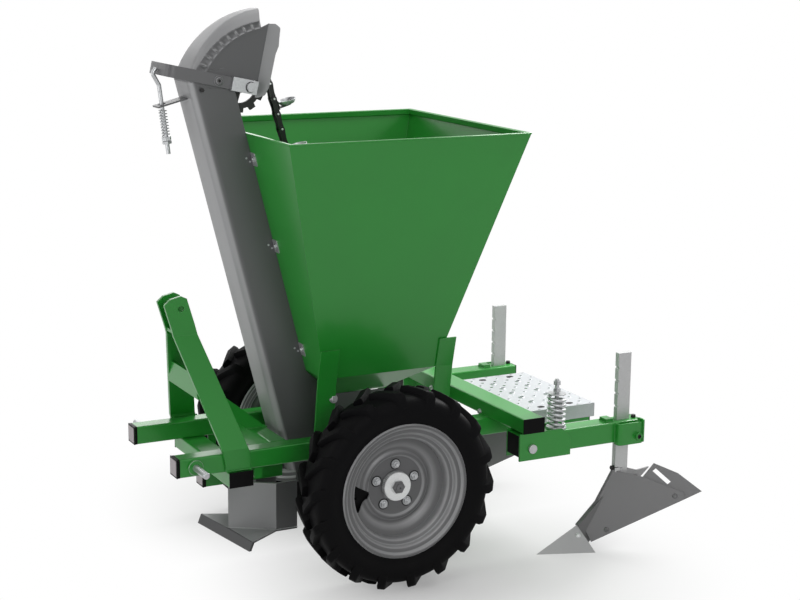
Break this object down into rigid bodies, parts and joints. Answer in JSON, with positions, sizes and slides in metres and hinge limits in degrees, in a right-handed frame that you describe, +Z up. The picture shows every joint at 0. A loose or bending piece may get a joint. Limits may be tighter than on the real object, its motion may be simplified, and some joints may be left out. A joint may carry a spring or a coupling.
{
  "type": "potato planter",
  "caption": "Tractor-mounted single-row potato planter: hopper, cup-chain elevator, ground wheels, furrow opener and spring-loaded ridgers.",
  "frame": {"origin": "centre of the bounding box on the ground", "axes": "+X forward towards the tractor, +Y to the machine's left, +Z up"},
  "size_m": [1.763, 1.1292, 1.8],
  "materials": {
    "green_paint": "satin powder coat",
    "grey_paint": "silver-grey paint",
    "zinc": "zinc plated",
    "black_plastic": "moulded",
    "tyre": "moulded rubber",
    "dark_steel": "blackened"
  },
  "bodies": {
    "frame": {"arm_pivot_bolts": "zinc", "axle_bearings": "dark_steel", "chain_cups": "zinc", "chute": "grey_paint", "chute_clips": "zinc", "cup_chain": "dark_steel", "elevator_foot": "grey_paint", "front_cross_tube": "green_paint", "hood": "grey_paint", "hopper": "green_paint", "hopper_brackets": "green_paint", "left_arm_bracket": "green_paint", "left_arm_spring": "zinc", "left_beam": "green_paint", "left_mast_leg": "green_paint", "lower_hitch_pins": "green_paint", "mast_strut": "green_paint", "mast_ties": "green_paint", "middle_cross_tube": "green_paint", "opener_boot": "grey_paint", "opener_carrier_tube": "green_paint", "opener_sole": "grey_paint", "rear_cross_tube": "green_paint", "right_arm_bracket": "green_paint", "right_arm_spring": "zinc", "right_beam": "green_paint", "right_mast_leg": "green_paint", "spring_rods": "zinc", "step_plank": "zinc", "tension_plate": "grey_paint", "tension_spring": "zinc", "tube_plugs": "black_plastic", "yoke_pivot_bolts": "zinc"},
    "wheel_axle": {"axle": "dark_steel", "drive_sprocket": "dark_steel", "wheel_hubs": "dark_steel", "wheel_bolts": "zinc", "left_rim": "grey_paint", "right_rim": "grey_paint", "left_tyre": "tyre", "right_tyre": "tyre"},
    "tension_yoke": {"tension_yoke": "grey_paint", "yoke_bearing_blocks": "zinc", "tension_rod": "zinc"},
    "upper_drive": {"upper_sprocket": "dark_steel", "upper_shaft": "zinc"},
    "left_arm": {"left_arm": "green_paint", "left_arm_plugs": "black_plastic"},
    "left_ridger": {"left_shank": "grey_paint", "left_ridger": "grey_paint", "left_share": "grey_paint"},
    "left_outer_wing_end": {"left_outer_wing_end": "grey_paint"},
    "left_inner_wing_end": {"left_inner_wing_end": "grey_paint"},
    "right_arm": {"right_arm": "green_paint", "right_arm_plugs": "black_plastic"},
    "right_ridger": {"right_shank": "grey_paint", "right_ridger": "grey_paint", "right_share": "grey_paint"},
    "right_outer_wing_end": {"right_outer_wing_end": "grey_paint"},
    "right_inner_wing_end": {"right_inner_wing_end": "grey_paint"}
  },
  "joints": [
    {"name": "wheel_spin", "type": "hinge", "parent": "frame", "child": "wheel_axle", "pos_m": [0.22453, 0, 0.327], "axis": [0, 1, 0], "continuous": true},
    {"name": "yoke_tilt", "type": "hinge", "parent": "frame", "child": "tension_yoke", "pos_m": [0.67153, 0, 1.587], "axis": [0, 1, 0], "range_deg": [-2, 0], "stiffness_Nm_per_rad": 470, "springref_deg": 3.72, "deforming": ["tension_spring"]},
    {"name": "upper_sprocket_spin", "type": "hinge", "parent": "tension_yoke", "child": "upper_drive", "pos_m": [0.56953, 0, 1.565], "axis": [0, 1, 0], "continuous": true},
    {"name": "left_arm_swing", "type": "hinge", "parent": "frame", "child": "left_arm", "pos_m": [-0.26547, 0.408, 0.389], "axis": [0, 1, 0], "range_deg": [0, 8], "stiffness_Nm_per_rad": 140, "springref_deg": -28.65, "deforming": ["left_arm_spring"]},
    {"name": "left_shank_height", "type": "slide", "parent": "left_arm", "child": "left_ridger", "axis": [0, 0, 1], "range_m": [-0.15, 0.07]},
    {"name": "left_outer_wing_tilt", "type": "hinge", "parent": "left_ridger", "child": "left_outer_wing_end", "pos_m": [-0.79684, 0.52352, 0.17056], "axis": [0.4519, 0.85, 0.2707], "range_deg": [-6, 6]},
    {"name": "left_inner_wing_tilt", "type": "hinge", "parent": "left_ridger", "child": "left_inner_wing_end", "pos_m": [-0.79684, 0.29248, 0.17056], "axis": [0.4519, -0.85, 0.2707], "range_deg": [-6, 6]},
    {"name": "right_arm_swing", "type": "hinge", "parent": "frame", "child": "right_arm", "pos_m": [-0.26547, -0.408, 0.389], "axis": [0, 1, 0], "range_deg": [0, 8], "stiffness_Nm_per_rad": 140, "springref_deg": -28.65, "deforming": ["right_arm_spring"]},
    {"name": "right_shank_height", "type": "slide", "parent": "right_arm", "child": "right_ridger", "axis": [0, 0, 1], "range_m": [-0.15, 0.07]},
    {"name": "right_outer_wing_tilt", "type": "hinge", "parent": "right_ridger", "child": "right_outer_wing_end", "pos_m": [-0.79684, -0.52352, 0.17056], "axis": [0.4519, -0.85, 0.2707], "range_deg": [-6, 6]},
    {"name": "right_inner_wing_tilt", "type": "hinge", "parent": "right_ridger", "child": "right_inner_wing_end", "pos_m": [-0.79684, -0.29248, 0.17056], "axis": [0.4519, 0.85, 0.2707], "range_deg": [-6, 6]}
  ],
  "couplings": [
    {"joint": "upper_sprocket_spin", "follows": "wheel_spin", "ratio": 1}
  ]
}
